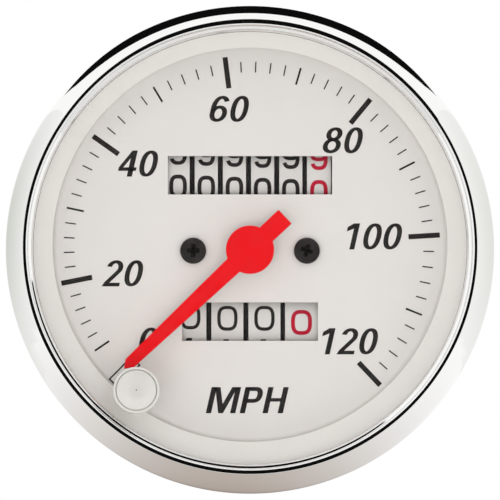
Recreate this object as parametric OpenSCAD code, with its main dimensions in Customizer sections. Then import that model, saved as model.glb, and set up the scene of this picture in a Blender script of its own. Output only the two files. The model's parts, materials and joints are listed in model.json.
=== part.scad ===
// Cable-driven panel speedometer with an odometer, a trip counter and a reset knob.
// Frame: +X right, +Y into the panel, +Z up. The origin is on the dial's axis, on the panel's face.
// Modules are drawn in the dial's own frame (x right, y up, z towards the driver) and turned by place().

/* [Bezel and lens] */
// Outside diameter of the bezel
bezel_d = 85.7; // [84.5:0.1:88]
// Height of the bezel's crest above the panel
bezel_h = 8; // [7.5:0.1:9]
// Thickness of the bezel's metal
bezel_wall = 0.8; // [0.6:0.05:0.9]
// Width of the bezel's outer flank
flank_w = 3.25; // [2.8:0.05:3.5]
// Width of the bezel's inner slope
slope_w = 1.6; // [1.4:0.05:2]
// Depth of the bezel's inner lip below the crest
lip_drop = 1.8; // [1.5:0.1:2]
// Height of the straight rim at the foot of the bezel
rim_h = 1.5; // [1.2:0.1:2]
// Thickness of the lens
lens_t = 2.2; // [1.8:0.1:2.5]
// Width of the lens's edge behind the bezel
lens_lap = 1.9; // [1.5:0.1:2.1]
// Thickness of the lens gasket
gasket_t = 0.4; // [0.3:0.1:0.6]

/* [Dial] */
// Width of the gap between the dial's edge and the bezel's opening, seen from the front
dial_margin = 0.5; // [0.2:0.1:1.5]
// Thickness of the dial
dial_t = 0.8; // [0.6:0.1:1.2]
// Distance from the lens to the dial
dial_gap = 6; // [5.6:0.1:6.4]
// Width of the dial ring, seen from the front
ring_w = 3.3; // [2.6:0.1:4]
// Distance between the dial screws
screw_span = 20; // [19:0.1:21]
// Head diameter of the dial screws
screw_head_d = 4.55; // [4:0.05:5]
// Height of the window openings
window_h = 6.8; // [6:0.1:7.4]
// Width of the odometer window
odometer_window_w = 28.9; // [28:0.1:29.2]
// Width of the trip window
trip_window_w = 23.9; // [23:0.1:25]

/* [Pointer] */
// Length of the pointer from its axis
pointer_l = 30.4; // [28:0.1:31]
// Length of the pointer's tail
tail_l = 8.45; // [7:0.05:10]
// Width of the pointer at its hub, and of its tail
pointer_w = 3.3; // [2.6:0.1:3.8]
// Width of the pointer at the shoulder before its tip
pointer_tip_w = 2; // [1.4:0.1:2.4]
// Diameter of the pointer's hub
hub_d = 8.45; // [7.5:0.05:9]
// Thickness of the pointer
pointer_t = 1.2; // [1:0.1:1.4]
// Distance from the dial to the pointer
pointer_gap = 2.4; // [2:0.1:2.6]
// Rest angle of the pointer, below the horizontal on the left
pointer_rest = 43.4; // [42:0.1:45]

/* [Counters] */
// Distance of each counter's shaft from the middle between them
counter_y = 12.9; // [12.7:0.1:13.4]
// Height of the middle between the counters above the dial's axis
counter_lift = 0.45; // [0:0.05:0.6]
// Diameter of the number drums
drum_d = 19; // [18.6:0.1:19.2]
// Distance from one odometer drum to the next
odometer_pitch = 4.96; // [4.86:0.01:5.04]
// Distance from one trip drum to the next
trip_pitch = 6.52; // [6.3:0.01:6.6]
// Thickness of the carrier plates between the drums
carrier_t = 0.5; // [0.4:0.05:0.75]
// Sideways place of the odometer's middle
odometer_x = -0.26; // [-0.4:0.02:0]
// Sideways place of the trip counter's middle
trip_x = -0.72; // [-0.9:0.02:-0.4]
// Radius of the counter shafts
counter_shaft_r = 1.25; // [1:0.05:1.3]

/* [Drive] */
// Module of the first worm and wheel
first_module = 0.55; // [0.5:0.01:0.58]
// Pitch radius of the worms
worm_r = 3; // [2.8:0.05:3.1]
// Length of the worms
worm_l = 7; // [6:0.1:7.6]
// Distance from the odometer's shaft up to the lay shaft
lay_rise = 9; // [8.6:0.1:9.2]
// Radius of the cross and lay shafts
thin_shaft_r = 1; // [0.8:0.05:1.2]
// Face width of the worm wheels
wheel_t = 1.2; // [1:0.1:1.4]

/* [Speed movement] */
// Outside diameter of the speed cup
cup_d = 29.2; // [28:0.1:29.6]
// Share of the room behind the hairspring that the speed cup takes
cup_share = 0.52; // [0.46:0.01:0.54]
// Radius of the spindle
spindle_r = 0.8; // [0.7:0.05:1]
// Radius of the input shaft at the magnet
input_r = 1.9; // [1.7:0.05:2]

/* [Reset] */
// Diameter of the reset knob
knob_d = 8.2; // [7.6:0.1:8.8]
// Diameter of the reset knob's face
knob_face_d = 6.8; // [6:0.1:7.2]
// Length of the reset knob in front of the lens
knob_l = 4; // [3:0.1:7]
// Sideways place of the reset knob
knob_x = -19.85; // [-20.4:0.05:-19.6]
// Distance of the reset knob's axis from the bezel's opening
knob_margin = 5.95; // [5.7:0.05:6.4]
// Radius of the reset knob's stem
stem_r = 1.6; // [1.4:0.05:1.8]

/* [Case and rear fittings] */
// Width of the bezel's seat on the panel
seat_w = 3.25; // [3.2:0.05:3.45]
// Thickness of the case's metal
case_wall = 0.9; // [0.7:0.05:1]
// Depth of the case behind the panel
case_depth = 60; // [59:0.5:64]
// Outside diameter of the cable fitting's thread
cable_d = 15.88; // [14:0.01:18]
// Length of the cable fitting's thread
cable_l = 11; // [9:0.5:14]
// Bore of the cable fitting
ferrule_d = 10.4; // [10:0.1:11]
// Width of the square socket for the cable's end
square_w = 3.3; // [2.6:0.1:3.4]
// Diameter of the mounting studs
stud_d = 4.8; // [4:0.1:5]
// Distance between the mounting studs
stud_span = 48; // [44:0.5:52]
// Length of the mounting studs
stud_l = 22; // [16:0.5:30]
// Distance of each lamp from the axis
lamp_x = 28.5; // [28:0.1:28.8]

/* [Hidden] */
$fn = 64;
// Clearances
run_fit = 0.05;
press_gap = 0.02;
clear_gap = 0.3;
side_gap = 0.12;

// Levels on the dial's axis, from the front to the back
bezel_r = bezel_d / 2;
crest_r = bezel_r - flank_w;
opening_r = crest_r - slope_w;
case_r = bezel_r - seat_w;
lens_r = opening_r + lens_lap;
dial_r = opening_r - dial_margin;
ring_r = opening_r - ring_w;
lip_z = bezel_h - lip_drop;
lens_front = lip_z - gasket_t;
lens_back = lens_front - lens_t;
dial_front = lens_back - dial_gap;
dial_back = dial_front - dial_t;
flange_front = bezel_wall + case_wall;
bridge_t = 2;
bridge_margin = 1.6;
bridge_back = dial_back - bridge_t;
drum_r = drum_d / 2;
drum_gap = 0.7;
counter_z = dial_back - drum_gap - drum_r;
wall_gap = 1;
frame_t = 1.6;
wall_front = counter_z - drum_r - wall_gap;
wall_back = wall_front - frame_t;

// Levels from the back of the case to the front
case_back = -case_depth;
base_t = 3;
base_back = case_back + case_wall;
base_front = base_back + base_t;
wheel_teeth = 20;
worm_starts = 2;
tooth_addendum = 0.8;
tooth_dedendum = 1.05;
tooth_share = 0.36;
tooth_slope = tan(20);
first_wheel_r = first_module * wheel_teeth / 2;
wheel_room = first_wheel_r + tooth_addendum * first_module + 0.5;
worm_z = base_front + wheel_room;
plate_back = worm_z + wheel_room;
plate_t = 1.6;
plate_front = plate_back + plate_t;
spring_t = 0.8;
spring_back = wall_back - 2.2;
collar_l = 0.4;
cup_l = cup_share * (spring_back - collar_l - plate_front);
magnet_back = plate_front + 1.6;
magnet_l = cup_l - 1;
magnet_front = magnet_back + magnet_l;
cup_t = 0.5;
cup_front = magnet_front + 1 + cup_t;

// Drive train places
cross_x = first_wheel_r + worm_r;
odometer_drum_w = odometer_pitch - carrier_t - 2 * side_gap;
trip_drum_w = trip_pitch - carrier_t - 2 * side_gap;
odometer_drums = 6;
trip_drums = 4;
odometer_end = odometer_x + (odometer_drums - 1) / 2 * odometer_pitch + odometer_drum_w / 2;
trip_end = trip_x + (trip_drums - 1) / 2 * trip_pitch + trip_drum_w / 2;
odometer_start = odometer_x - (odometer_drums - 1) / 2 * odometer_pitch - odometer_drum_w / 2;
trip_start = trip_x - (trip_drums - 1) / 2 * trip_pitch - trip_drum_w / 2;
worm_reach = worm_r + 0.6;
lay_x = odometer_end + worm_reach + 0.5;
wheel_hub_r = thin_shaft_r + 1.4;
wheel_hub_l = wheel_t + 2;
lay_y = counter_lift + counter_y + lay_rise;
lay_module = (lay_x - cross_x - worm_r) * 2 / wheel_teeth;
odometer_module = (lay_rise - worm_r) * 2 / wheel_teeth;
spur_teeth = 15;
idler_teeth = 28;
spur_module = counter_y * 2 / (spur_teeth + idler_teeth);
spur_t = 1.2;
spur_x = lay_x + wheel_t / 2 + 0.8 + spur_t / 2;
cheek_t = 1.2;
right_cheek = spur_x + spur_t / 2 + 0.8;
reset_room = 7.4;
left_cheek = min(odometer_start, trip_start) - 0.6 - cheek_t;
cheek_front = bridge_back - 1;
cheek_h = counter_y + 3.6;

// Transfer pinions
ring_teeth = 20;
pinion_teeth = 6;
pinion_module = 0.7;
pinion_offset = (ring_teeth - pinion_teeth) * pinion_module / 2;
pinion_l = 1;
neck_r = 1;
recess_l = 1.4;
hub_r = counter_shaft_r + run_fit + 0.6;
tail_w = 3;

// Reset place and gears
knob_y = -sqrt(pow(opening_r - knob_margin, 2) - pow(knob_x, 2));
reset_teeth = 12;
trip_reset_teeth = 16;
reset_gear_t = 4;
reset_module = (counter_lift - counter_y - knob_y) * 2 / (reset_teeth + trip_reset_teeth);
reset_shaft_r = 1.1;

// Rear fittings
cable_flange_t = 3;
cable_neck_r = 6.4;
cable_end = case_back - cable_flange_t - cable_l;
ferrule_depth = 9;
square_l = 8;
journal_r = 3.3;
input_end = cable_end + ferrule_depth + clear_gap;
pillar_r = 2;
pillar_places = [[-20, 8], [20, 8], [-20, -14], [20, -14]];
movement_screw_places = [[-15, 15], [15, -15]];
movement_screw_r = 1.6;
lamp_r = 4.5;
base_margin = 6.6;
base_r = case_r - base_margin;
base_half_w = lay_x + 3.4;
plate_half_w = 23;
plate_half_h = 17;

// Frames: from the dial's frame to the part's, and local z laid along x or y
module place() { rotate([90, 0, 0]) children(); }
module along_x() { rotate([0, 90, 0]) children(); }
module along_y() { rotate([-90, 0, 0]) children(); }
module at_odometer(x) { translate([x, counter_lift + counter_y, counter_z]) along_x() children(); }
module at_trip(x) { translate([x, counter_lift - counter_y, counter_z]) along_x() children(); }

// Solids between two levels
module rod(r, from, to) { translate([0, 0, from]) cylinder(r = r, h = to - from); }
module bar(w, h, from, to) {
    translate([-w / 2, -h / 2, from]) cube([w, h, to - from]);
}
module tube(r, bore, from, to) {
    difference() {
        rod(r, from, to);
        rod(bore, from - 1, to + 1);
    }
}

// Outlines
function polar(r, a) = [r * cos(a), r * sin(a)];
function half_angle(w, r) = w / r * 90 / PI;
function arc(x, y, r, a0, a1, steps) =
    [for (i = [0:steps]) [x, y] + polar(r, a0 + (a1 - a0) * i / steps)];
function ellipse_arc(x, y, rx, ry, a0, a1, steps) =
    [for (i = [0:steps])
        let (a = a0 + (a1 - a0) * i / steps) [x + rx * cos(a), y + ry * sin(a)]];
function toothed(teeth, root_r, tip_r, root_w, tip_w) =
    [for (i = [0:teeth - 1])
        let (a = i * 360 / teeth, root = half_angle(root_w, root_r), tip = half_angle(tip_w, tip_r))
        each [polar(root_r, a - root), polar(tip_r, a - tip), polar(tip_r, a + tip),
            polar(root_r, a + root)]];

// External gear outline with its first tooth on the x axis
module gear_outline(teeth, m, depth = 0) {
    d = depth == 0 ? m : depth;
    r = teeth * m / 2;
    thick = tooth_share * PI * m;
    polygon(toothed(teeth, r - tooth_dedendum * d, r + tooth_addendum * d,
        thick + 2 * tooth_dedendum * d * tooth_slope, thick - 2 * tooth_addendum * d * tooth_slope));
}

// Hole of an internal gear, with its first space on the x axis
module ring_hole(teeth, m) {
    r = teeth * m / 2;
    thick = tooth_share * PI * m;
    tip_r = r - tooth_addendum * m;
    root_r = r + tooth_dedendum * m;
    tip_space = 2 * PI * tip_r / teeth - thick + 2 * tooth_addendum * m * tooth_slope;
    root_space = 2 * PI * root_r / teeth - thick - 2 * tooth_dedendum * m * tooth_slope;
    polygon(toothed(teeth, tip_r, root_r, tip_space, root_space));
}

// Right-hand worm along z, centred, with a thread on the x axis at its middle
module worm(m) {
    lead = worm_starts * PI * m;
    share = 360 / worm_starts;
    thick = tooth_share / 2;
    tip = thick - tooth_addendum * tooth_slope / PI;
    root = thick + tooth_dedendum * tooth_slope / PI;
    floor_step = (0.5 - root) / 3;
    root_r = worm_r - tooth_dedendum * m;
    tip_r = worm_r + tooth_addendum * m;
    turn = 360 * worm_l / lead;
    outline = [for (k = [0:worm_starts - 1])
        let (a = k * share)
        each [polar(root_r, a - root * share), polar(tip_r, a - tip * share), polar(tip_r, a),
            polar(tip_r, a + tip * share), polar(root_r, a + root * share),
            polar(root_r, a + (0.5 - floor_step) * share), polar(root_r, a + (0.5 + floor_step) * share)]];
    linear_extrude(height = worm_l, center = true, twist = -turn, slices = ceil(turn / 18), $fn = 3)
        rotate(-turn / 2) polygon(outline);
}

// Worm wheel along z, centred, with a tooth space on the x axis
module worm_wheel(m, bore, hub, hub_l) {
    difference() {
        union() {
            linear_extrude(wheel_t, center = true) rotate(180 / wheel_teeth) gear_outline(wheel_teeth, m);
            cylinder(r = hub, h = hub_l, center = true);
        }
        cylinder(r = bore, h = hub_l + 1, center = true);
    }
}

// Helical gear along z, centred, with teeth at 45 degrees and its first tooth on the x axis at its middle
module helical_gear(teeth) {
    turn = reset_gear_t / (teeth * reset_module / 2) * 180 / PI;
    linear_extrude(height = reset_gear_t, center = true, twist = -turn, slices = 6, $fn = 3)
        rotate(-turn / 2) gear_outline(teeth, reset_module, reset_module * cos(45));
}

// Shell and front

bezel_curve_h = bezel_h - rim_h;
bezel_inside_h = bezel_curve_h - bezel_wall;
bezel_inside_r = bezel_r - bezel_wall;
lip_angle = asin((lip_z - rim_h) / bezel_inside_h);
lip_edge = 0.7;
foot_r = case_r + 0.1;

module bezel() {
    outline = concat(
        [[foot_r, 0], [bezel_r - 0.4, 0], [bezel_r, 0.4]],
        ellipse_arc(crest_r, rim_h, bezel_r - crest_r, bezel_curve_h, 0, 90, 14),
        ellipse_arc(crest_r, lip_z + lip_edge, crest_r - opening_r, lip_drop - lip_edge, 100, 180, 8),
        [[opening_r, lip_z]],
        ellipse_arc(crest_r, rim_h, bezel_inside_r - crest_r, bezel_inside_h, lip_angle, 0, 8),
        [[bezel_inside_r, bezel_wall], [foot_r, bezel_wall]]);
    color("silver") place() rotate_extrude($fn = 128) polygon(outline);
}

module lens() {
    color([0.9, 0.95, 0.95, 0.3]) place() difference() {
        rod(lens_r, lens_back, lens_front, $fn = 128);
        translate([knob_x, knob_y, 0]) rod(stem_r + clear_gap, lens_back - 1, lens_front + 1);
    }
}

module lens_gasket() {
    color("black") place() tube(lens_r, opening_r + 0.4, lens_front, lip_z);
}

// The ring's plug drops into the case's mouth and its cone ends on the dial
ring_plug_r = case_r - case_wall - 0.2;
ring_top_r = opening_r + 0.3;

module dial_ring() {
    flange_r = lens_r + 1;
    outline = [[ring_top_r, lens_back], [flange_r, lens_back], [flange_r, flange_front],
        [ring_plug_r, flange_front], [ring_plug_r, dial_front + 1.4],
        [ring_r + 1.4, dial_front], [ring_r, dial_front]];
    color("whitesmoke") place() rotate_extrude($fn = 128) polygon(outline);
}

case_corner_r = 4;
neck_taper = 0.4;

// Drawn cup that tapers in under the bezel's foot
module case() {
    inside_r = case_r - case_wall;
    flange_r = bezel_inside_r - 0.1;
    outline = concat(
        [[case_r, 0], [case_r - neck_taper, bezel_wall], [flange_r, bezel_wall], [flange_r, flange_front],
            [inside_r, flange_front]],
        arc(inside_r - case_corner_r, base_back + case_corner_r, case_corner_r, 0, -90, 8),
        [[0, base_back], [0, case_back]],
        arc(inside_r - case_corner_r, base_back + case_corner_r, case_corner_r + case_wall, -90, 0, 8));
    color("dimgray") place() difference() {
        rotate_extrude($fn = 128) polygon(outline);
        rod(cable_neck_r + 0.1, case_back - 1, base_back + 1);
        for (s = [-1, 1]) translate([s * lamp_x, 0, 0]) rod(lamp_r + 0.1, case_back - 1, base_back + 1);
        for (p = movement_screw_places)
            translate(p) rod(movement_screw_r + run_fit, case_back - 1, base_back + 1);
    }
}

dial_hole_r = 2;
dial_screw_r = 1.3;
dial_screw_l = 4;

module dial() {
    color([0.88, 0.87, 0.85]) place() difference() {
        rod(dial_r, dial_back, dial_front, $fn = 128);
        rod(dial_hole_r, dial_back - 1, dial_front + 1);
        for (s = [-1, 1])
            translate([s * screw_span / 2, 0, 0]) rod(dial_screw_r + run_fit, dial_back - 1, dial_front + 1);
        translate([knob_x, knob_y, 0]) rod(stem_r + 0.7, dial_back - 1, dial_front + 1);
        translate([0, counter_lift + counter_y, 0])
            bar(odometer_window_w, window_h, dial_back - 1, dial_front + 1);
        translate([0, counter_lift - counter_y, 0])
            bar(trip_window_w, window_h, dial_back - 1, dial_front + 1);
    }
}

module dial_screws() {
    head_t = 1.1;
    color("dimgray") place() for (s = [-1, 1]) translate([s * screw_span / 2, 0, 0]) rotate(s * 12) {
        difference() {
            union() {
                rod(screw_head_d / 2, dial_front, dial_front + head_t - 0.3);
                translate([0, 0, dial_front + head_t - 0.3])
                    cylinder(r1 = screw_head_d / 2, r2 = screw_head_d / 2 - 0.4, h = 0.3);
                rod(dial_screw_r, bridge_back - dial_screw_l, dial_front);
            }
            for (a = [0, 90])
                rotate(a) bar(screw_head_d * 0.58, 0.7, dial_front + 0.35, dial_front + head_t + 1);
        }
    }
}

// Lens side of the movement

module dial_bridge() {
    color("gainsboro") place() difference() {
        bar(screw_span + 2 * pillar_r + bridge_margin, 2 * pillar_r + 0.6, bridge_back, dial_back);
        rod(spindle_r + 0.8 + press_gap, bridge_back - 1, dial_back + 1);
        for (s = [-1, 1])
            translate([s * screw_span / 2, 0, 0]) rod(dial_screw_r + run_fit, bridge_back - 1, dial_back + 1);
    }
}

module dial_pillars() {
    color("gainsboro") place() for (s = [-1, 1]) translate([s * screw_span / 2, 0, 0]) difference() {
        rod(pillar_r + 0.3, wall_front, bridge_back);
        rod(dial_screw_r + run_fit, bridge_back - dial_screw_l - 1, bridge_back + 1);
    }
}

module spindle_bushes() {
    color("goldenrod") place() {
        tube(spindle_r + 0.8, spindle_r + run_fit, bridge_back, dial_back);
        tube(spindle_r + 0.8, spindle_r + run_fit, wall_back, wall_front);
    }
}

// Rear wall with two cheeks, a lug for each of the lay and reset shafts, and an ear in front of the worm
module movement_frame() {
    lug = 3;
    wall_left = left_cheek - reset_room;
    wall_right = right_cheek + cheek_t + 1;
    ear_back = counter_z + worm_l / 2 + 0.8;
    ear_t = 1.6;
    color("gainsboro") place() difference() {
        union() {
            translate([wall_left, -cheek_h - 1, wall_back])
                cube([wall_right - wall_left, 2 * cheek_h + 2, frame_t]);
            translate([knob_x - lug, knob_y - lug, wall_back])
                cube([2 * lug, -cheek_h - knob_y + lug, frame_t]);
            translate([lay_x - lug, cheek_h, wall_back])
                cube([2 * lug, lay_y - cheek_h + lug, frame_t]);
            for (x = [left_cheek, right_cheek])
                translate([x, -cheek_h, wall_back]) cube([cheek_t, 2 * cheek_h, cheek_front - wall_back]);
            translate([right_cheek, counter_y, ear_back])
                cube([cheek_t, lay_y + lug - counter_y, cheek_front - ear_back]);
            translate([lay_x - lug, lay_y - lug, ear_back])
                cube([right_cheek + cheek_t - lay_x + lug, 2 * lug, ear_t]);
        }
        rod(spindle_r + 0.8 + press_gap, wall_back - 1, wall_front + 1);
        translate([lay_x, lay_y, 0]) rod(thin_shaft_r + run_fit, wall_back - 1, cheek_front + 1);
        translate([knob_x, knob_y, 0]) rod(reset_shaft_r + run_fit, wall_back - 1, wall_front + 1);
        at_odometer(0) rod(counter_shaft_r + press_gap, left_cheek - 1, right_cheek + cheek_t + 1);
        at_trip(0) rod(counter_shaft_r + run_fit, left_cheek - 1, right_cheek + cheek_t + 1);
        translate([0, counter_lift, counter_z]) along_x()
            rod(idler_pin_r + press_gap, right_cheek - 1, right_cheek + cheek_t + 1);
    }
}

module frame_pillars() {
    color("gainsboro") place() for (p = pillar_places) translate(p) {
        rod(pillar_r, plate_front, wall_back);
        rod(pillar_r, base_front, plate_back);
    }
}

module bearing_plate() {
    color("gainsboro") place() difference() {
        bar(2 * plate_half_w, 2 * plate_half_h, plate_back, plate_front);
        rod(input_r + run_fit, plate_back - 1, plate_front + 1);
    }
}

cross_low = -first_wheel_r - 5;
cross_high = lay_y + worm_l / 2 + 1.2;
post_t = 2.4;
post_w = 6;

// Base across the case's back, with two posts for the cross shaft
module base_plate() {
    color("darkgray") place() difference() {
        union() {
            intersection() {
                rod(base_r, base_back, base_front);
                bar(2 * base_half_w, 2 * base_r, base_back, base_front);
            }
            for (y = [cross_low, cross_high])
                translate([cross_x - post_w / 2, y, base_front - 0.5])
                    cube([post_w, post_t, worm_z + 2.4 - base_front + 0.5]);
        }
        rod(cable_neck_r + press_gap, base_back - 1, base_front + 1);
        translate([lay_x, lay_y, 0]) rod(thin_shaft_r + run_fit, base_back - 1, base_front + 1);
        translate([cross_x, 0, worm_z]) along_y()
            rod(thin_shaft_r + run_fit, cross_low - 1, cross_high + post_t + 1);
        for (p = movement_screw_places)
            translate(p) rod(movement_screw_r + run_fit, base_back - 1, base_front + 1);
    }
}

module movement_screws() {
    color("silver") place() for (p = movement_screw_places) translate(p) difference() {
        union() {
            rod(movement_screw_r, case_back, base_front);
            rod(2 * movement_screw_r, case_back - 2, case_back);
        }
        bar(6 * movement_screw_r, 0.8, case_back - 3, case_back - 1.2);
    }
}

// Speed movement

field_gap = 0.6;
field_t = 1;

module field_ring() {
    color("slategray") place()
        tube(cup_d / 2 + field_gap + field_t, cup_d / 2 + field_gap, plate_front, cup_front);
}

module speed_cup() {
    outline = [[spindle_r + press_gap, cup_front], [cup_d / 2, cup_front], [cup_d / 2, cup_front - cup_l],
        [cup_d / 2 - cup_t, cup_front - cup_l], [cup_d / 2 - cup_t, cup_front - cup_t],
        [spindle_r + press_gap, cup_front - cup_t]];
    color("lightgray") place() rotate_extrude() polygon(outline);
}

magnet_gap = 0.7;

module magnet() {
    color("darkslategray") place()
        tube(cup_d / 2 - cup_t - magnet_gap, input_r + press_gap, magnet_back, magnet_front);
}

// Spindle with the collar that holds the hairspring's inner end
module spindle() {
    color("silver") place() {
        union() {
            rod(spindle_r, magnet_front + 0.4, pointer_back + socket_l);
            rod(spring_in_r - run_fit, spring_back - collar_l, spring_back + spring_t + collar_l);
        }
    }
}

// Flat spiral from the spindle's collar out to a post on the frame's wall
spring_turns = 4;
spring_w = 0.3;
spring_in_r = spindle_r + 0.9;
spring_out_r = 7;

module hairspring() {
    steps = 20 * spring_turns;
    grow = spring_out_r - spring_in_r;
    inner = [for (i = [0:steps]) polar(spring_in_r + grow * i / steps, 360 * spring_turns * i / steps)];
    outer = [for (i = [steps:-1:0])
        polar(spring_in_r + spring_w + grow * i / steps, 360 * spring_turns * i / steps)];
    color("goldenrod") place() {
        translate([0, 0, spring_back]) linear_extrude(spring_t) polygon(concat(inner, outer));
        translate([spring_out_r + spring_w + 0.8, 0, 0]) rod(0.8, spring_back, wall_back);
    }
}

pointer_back = dial_front + pointer_gap;
pointer_front = pointer_back + pointer_t;
tip_l = 1.3;
boss_l = pointer_gap - 0.8;
socket_l = 0.8;

module pointer() {
    shoulder = pointer_l - tip_l;
    blade = [[-tail_l, -pointer_w / 2], [0, -pointer_w / 2], [shoulder, -pointer_tip_w / 2], [pointer_l, 0],
        [shoulder, pointer_tip_w / 2], [0, pointer_w / 2], [-tail_l, pointer_w / 2]];
    color("red") place() difference() {
        union() {
            translate([0, 0, pointer_back]) linear_extrude(pointer_t) {
                circle(d = hub_d);
                rotate(180 + pointer_rest) polygon(blade);
            }
            rod(dial_hole_r - 0.4, pointer_back - boss_l, pointer_back);
        }
        rod(spindle_r + press_gap, pointer_back - pointer_gap, pointer_back + socket_l);
    }
}

// Input and reduction

module input_shaft() {
    step = worm_z - worm_l / 2 - 0.4;
    color("silver") place() difference() {
        union() {
            rod(input_r, step, magnet_front);
            rod(journal_r, input_end, step);
            translate([0, 0, worm_z]) worm(first_module);
        }
        bar(square_w, square_w, input_end - 1, input_end + square_l);
    }
}

module cable_fitting() {
    color("silver") place() difference() {
        union() {
            rod(cable_d / 2, cable_end, case_back - cable_flange_t);
            rod(cable_neck_r, case_back, base_front);
            translate([0, 0, case_back - cable_flange_t])
                cylinder(d = cable_d + 5, h = cable_flange_t, $fn = 6);
        }
        rod(journal_r + run_fit, cable_end - 1, base_front + 1);
        rod(ferrule_d / 2, cable_end - 1, cable_end + ferrule_depth);
    }
}

module cross_shaft() {
    color("silver") place() translate([cross_x, 0, worm_z]) along_y() {
        union() {
            rod(thin_shaft_r, cross_low + 0.2, cross_high + post_t - 0.2);
            translate([0, 0, lay_y]) worm(lay_module);
        }
    }
}

module cross_gear() {
    color("ivory") place() translate([cross_x, 0, worm_z]) along_y() rotate(180)
        worm_wheel(first_module, thin_shaft_r + press_gap, wheel_hub_r, wheel_hub_l);
}

module lay_shaft() {
    color("silver") place() translate([lay_x, lay_y, 0]) {
        union() {
            rod(thin_shaft_r, base_back + 0.4, cheek_front - 0.6);
            translate([0, 0, counter_z]) rotate(-90) worm(odometer_module);
        }
    }
}

module lay_gear() {
    color("ivory") place() translate([lay_x, lay_y, worm_z]) rotate(180)
        worm_wheel(lay_module, thin_shaft_r + press_gap, wheel_hub_r, wheel_hub_l);
}

// Odometer gear beside the first drum: worm wheel, spur gear and hub in one piece
module odometer_gear() {
    color("ivory") place() difference() {
        union() {
            at_odometer(lay_x) rotate(90 + 180 / wheel_teeth)
                linear_extrude(wheel_t, center = true) gear_outline(wheel_teeth, odometer_module);
            at_odometer(spur_x) rotate(-90)
                linear_extrude(spur_t, center = true) gear_outline(spur_teeth, spur_module);
            at_odometer(0) rod(hub_r + 1, odometer_end, spur_x + spur_t / 2);
        }
        at_odometer(0) rod(counter_shaft_r + run_fit, odometer_end - 1, right_cheek);
    }
}

idler_pin_r = 1.2;

module idler_gear() {
    color("ivory") place() translate([spur_x, counter_lift, counter_z]) along_x() difference() {
        linear_extrude(spur_t, center = true) rotate(90 + 180 / idler_teeth)
            gear_outline(idler_teeth, spur_module);
        cylinder(r = idler_pin_r + run_fit, h = spur_t + 1, center = true);
    }
}

module idler_pin() {
    color("silver") place() translate([0, counter_lift, counter_z]) along_x() {
        rod(idler_pin_r, spur_x - spur_t / 2 - clear_gap, right_cheek + cheek_t);
        rod(idler_pin_r + 0.8, spur_x - spur_t / 2 - clear_gap - 0.8, spur_x - spur_t / 2 - clear_gap);
    }
}

module trip_gear() {
    color("ivory") place() difference() {
        union() {
            at_trip(spur_x) rotate(90)
                linear_extrude(spur_t, center = true) gear_outline(spur_teeth, spur_module);
            at_trip(0) rod(hub_r + 0.6, trip_end, spur_x + spur_t / 2);
        }
        at_trip(0) rod(counter_shaft_r + run_fit, trip_end - 1, right_cheek);
    }
}

// Counters

module odometer_shaft() {
    color("silver") place() at_odometer(0)
        rod(counter_shaft_r, left_cheek - 0.8, right_cheek + cheek_t + 0.8);
}

function odometer_place(n) = odometer_x + ((odometer_drums + 1) / 2 - n) * odometer_pitch;
function trip_place(n) = trip_x + ((trip_drums + 1) / 2 - n) * trip_pitch;

// Drum along z, centred. A full ring gear is on its +z side unless it is the first drum, and two carry teeth
// are on its -z side unless it is the last. Both meet a pinion at the back, which is on the x axis here.
module drum(w, first, last) {
    recess_r = ring_teeth * pinion_module / 2 + tooth_dedendum * pinion_module;
    difference() {
        cylinder(r = drum_r, h = w, center = true, $fn = 96);
        cylinder(r = counter_shaft_r + run_fit, h = w + 1, center = true);
        if (!first) difference() {
            translate([0, 0, w / 2 - recess_l]) linear_extrude(recess_l + 1)
                ring_hole(ring_teeth, pinion_module);
            rod(hub_r, 0, w);
        }
        if (!last) difference() {
            rod(recess_r, -w / 2 - 1, -w / 2 + recess_l);
            rod(hub_r, -w, 0);
            intersection() {
                translate([0, 0, -w / 2]) linear_extrude(recess_l) difference() {
                    circle(r = recess_r + 1);
                    ring_hole(ring_teeth, pinion_module);
                }
                translate([0, -recess_r * sin(18), -w]) cube([recess_r, 2 * recess_r * sin(18), w]);
            }
        }
    }
}

module odometer_drum(n) {
    color("whitesmoke") place() at_odometer(odometer_place(n))
        drum(odometer_drum_w, n == 1, n == odometer_drums);
}

module trip_drum(n) {
    color("whitesmoke") place() at_trip(trip_place(n))
        drum(trip_drum_w, n == 1, n == trip_drums);
}

// Carrier plate along z, centred, with a snap slot for its pinion's neck and a tail against the frame's wall
module carrier() {
    slot_w = 1.7 * neck_r;
    difference() {
        union() {
            cylinder(r = drum_r - 0.2, h = carrier_t, center = true);
            translate([0, -tail_w / 2, -carrier_t / 2]) cube([drum_r + wall_gap, tail_w, carrier_t]);
        }
        cylinder(r = counter_shaft_r + press_gap, h = carrier_t + 1, center = true);
        translate([pinion_offset, 0, 0]) cylinder(r = neck_r + run_fit, h = carrier_t + 1, center = true);
        translate([pinion_offset, -slot_w / 2, -carrier_t]) cube([drum_r, slot_w, 2 * carrier_t]);
    }
}

module pinion() {
    translate([pinion_offset, 0, 0]) {
        cylinder(r = neck_r, h = carrier_t + 1, center = true);
        for (s = [-1, 1]) translate([0, 0, s * (carrier_t / 2 + side_gap + pinion_l / 2)])
            linear_extrude(pinion_l, center = true) gear_outline(pinion_teeth, pinion_module);
    }
}

module odometer_carriers() {
    color("black") place() for (n = [1:odometer_drums - 1])
        at_odometer(odometer_place(n + 0.5)) carrier();
}

module trip_carriers() {
    color("black") place() for (n = [1:trip_drums - 1]) at_trip(trip_place(n + 0.5)) carrier();
}

module odometer_pinion(n) { color("ivory") place() at_odometer(odometer_place(n + 0.5)) pinion(); }
module trip_pinion(n) { color("ivory") place() at_trip(trip_place(n + 0.5)) pinion(); }

// Reset

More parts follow.
